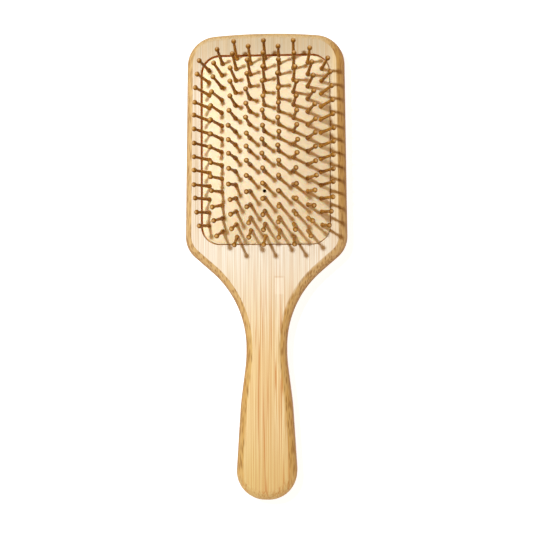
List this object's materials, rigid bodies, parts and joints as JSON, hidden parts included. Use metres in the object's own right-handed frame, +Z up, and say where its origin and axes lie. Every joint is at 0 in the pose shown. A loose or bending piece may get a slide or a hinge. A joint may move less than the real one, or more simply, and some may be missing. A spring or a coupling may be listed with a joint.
{
  "type": "paddle hair brush",
  "caption": "Square paddle hair brush with a wooden handle, a domed rubber air cushion and ball-tipped wooden pins.",
  "frame": {"origin": "on the surface that the brush lies on, under the middle of its length and width", "axes": "+Y along the brush from the handle to the head, +Z up out of the pins, +X to the right"},
  "size_m": [0.089, 0.256, 0.0408],
  "materials": {
    "bamboo": "fine-sanded laminated bamboo with a thin satin lacquer",
    "natural_rubber": "matt beige moulded rubber",
    "pin_wood": "turned and polished caramel brown wood"
  },
  "bodies": {
    "paddle": {"paddle_body": "bamboo"},
    "cushion": {"rubber_cushion": "natural_rubber"},
    "column_1": {"pin_column_1": "pin_wood"},
    "column_2": {"pin_column_2": "pin_wood"},
    "column_3": {"pin_column_3": "pin_wood"},
    "column_4": {"pin_column_4": "pin_wood"},
    "column_5": {"pin_column_5": "pin_wood"},
    "column_6": {"pin_column_6": "pin_wood"},
    "column_7": {"pin_column_7": "pin_wood"},
    "column_8": {"pin_column_8": "pin_wood"},
    "column_9": {"pin_column_9": "pin_wood"}
  },
  "joints": [
    {"name": "cushion_press", "type": "slide", "parent": "paddle", "child": "cushion", "axis": [0, 0, -1], "range_m": [0, 0.003], "stiffness_N_per_m": 1500, "deforming": ["rubber_cushion"]},
    {"name": "column_1_rock", "type": "hinge", "parent": "cushion", "child": "column_1", "pos_m": [-0.02995, 0.0633, 0.01616], "axis": [0, 1, 0], "range_deg": [-10, 10], "stiffness_Nm_per_rad": 0.1},
    {"name": "column_2_rock", "type": "hinge", "parent": "cushion", "child": "column_2", "pos_m": [-0.02289, 0.0633, 0.01823], "axis": [0, 1, 0], "range_deg": [-10, 10], "stiffness_Nm_per_rad": 0.1},
    {"name": "column_3_rock", "type": "hinge", "parent": "cushion", "child": "column_3", "pos_m": [-0.01539, 0.0633, 0.0189], "axis": [0, 1, 0], "range_deg": [-10, 10], "stiffness_Nm_per_rad": 0.1},
    {"name": "column_4_rock", "type": "hinge", "parent": "cushion", "child": "column_4", "pos_m": [-0.00771, 0.0633, 0.02022], "axis": [0, 1, 0], "range_deg": [-10, 10], "stiffness_Nm_per_rad": 0.1},
    {"name": "column_5_rock", "type": "hinge", "parent": "cushion", "child": "column_5", "pos_m": [0, 0.0633, 0.01951], "axis": [0, 1, 0], "range_deg": [-10, 10], "stiffness_Nm_per_rad": 0.1},
    {"name": "column_6_rock", "type": "hinge", "parent": "cushion", "child": "column_6", "pos_m": [0.00771, 0.0633, 0.02022], "axis": [0, 1, 0], "range_deg": [-10, 10], "stiffness_Nm_per_rad": 0.1},
    {"name": "column_7_rock", "type": "hinge", "parent": "cushion", "child": "column_7", "pos_m": [0.01539, 0.0633, 0.0189], "axis": [0, 1, 0], "range_deg": [-10, 10], "stiffness_Nm_per_rad": 0.1},
    {"name": "column_8_rock", "type": "hinge", "parent": "cushion", "child": "column_8", "pos_m": [0.02289, 0.0633, 0.01823], "axis": [0, 1, 0], "range_deg": [-10, 10], "stiffness_Nm_per_rad": 0.1},
    {"name": "column_9_rock", "type": "hinge", "parent": "cushion", "child": "column_9", "pos_m": [0.02995, 0.0633, 0.01616], "axis": [0, 1, 0], "range_deg": [-10, 10], "stiffness_Nm_per_rad": 0.1}
  ]
}
